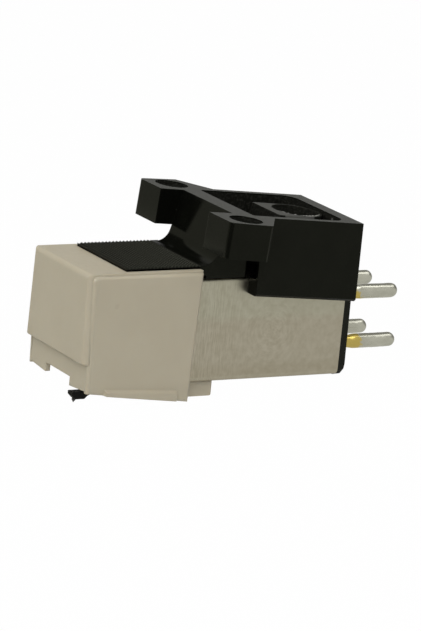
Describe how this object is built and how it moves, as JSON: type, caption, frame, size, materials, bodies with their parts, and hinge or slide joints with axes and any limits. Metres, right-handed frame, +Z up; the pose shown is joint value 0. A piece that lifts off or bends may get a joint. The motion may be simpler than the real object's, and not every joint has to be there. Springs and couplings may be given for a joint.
{
  "type": "turntable stylus cartridge",
  "caption": "Phono cartridge with a black half-inch mounting bracket, a metal shield can with rear terminal pins, and a pull-off stylus holder carrying a damped cantilever.",
  "frame": {"origin": "midway between the two mounting screw holes, on the bracket's top face", "axes": "+Z up out of the top face that meets the headshell, +Y rearwards to the terminal pins, X across the two screw holes"},
  "size_m": [0.0166, 0.0325, 0.0179],
  "materials": {
    "bracket_plastic": "satin black moulding",
    "can_metal": "satin plated sheet",
    "terminal_plastic": "matt black moulding",
    "pin_metal": "bright plated brass",
    "core_metal": "annealed sheet",
    "bobbin_plastic": "natural moulding",
    "coil_wire": "lacquered copper winding",
    "shield_metal": "plain sheet",
    "holder_plastic": "warm pale grey moulding, soft gloss",
    "sleeve_metal": "turned",
    "damper_rubber": "matt",
    "wire_metal": "drawn",
    "carrier_plastic": "moulded",
    "magnet_metal": "ground",
    "cantilever_metal": "black, satin",
    "stylus_jewel": "polished"
  },
  "bodies": {
    "body": {"mounting_bracket": "bracket_plastic", "shield_can": "can_metal", "terminal_block": "terminal_plastic", "left_signal_pin": "pin_metal", "right_signal_pin": "pin_metal", "left_return_pin": "pin_metal", "right_return_pin": "pin_metal", "left_core": "core_metal", "right_core": "core_metal", "left_bobbin": "bobbin_plastic", "right_bobbin": "bobbin_plastic", "left_coil": "coil_wire", "right_coil": "coil_wire", "channel_shield": "shield_metal"},
    "stylus_assembly": {"stylus_holder": "holder_plastic", "pivot_sleeve": "sleeve_metal", "suspension_wire": "wire_metal", "wire_anchor": "sleeve_metal"},
    "damper": {"damper_ring": "damper_rubber"},
    "cantilever_assembly": {"cantilever": "cantilever_metal", "magnet_carrier": "carrier_plastic", "left_magnet": "magnet_metal", "right_magnet": "magnet_metal", "stylus_tip": "stylus_jewel"}
  },
  "joints": [
    {"name": "stylus_pull", "type": "slide", "parent": "body", "child": "stylus_assembly", "axis": [0, -0.9965, -0.0837], "range_m": [0, 0.009]},
    {"name": "stylus_sway", "type": "hinge", "parent": "stylus_assembly", "child": "damper", "pos_m": [0, 0.00043, -0.01231], "axis": [0, -0.0837, 0.9965], "range_deg": [-3, 3], "stiffness_Nm_per_rad": 0.0045},
    {"name": "stylus_lift", "type": "hinge", "parent": "damper", "child": "cantilever_assembly", "pos_m": [0, 0.00043, -0.01231], "axis": [-1, 0, 0], "range_deg": [-2, 4], "stiffness_Nm_per_rad": 0.0045}
  ]
}
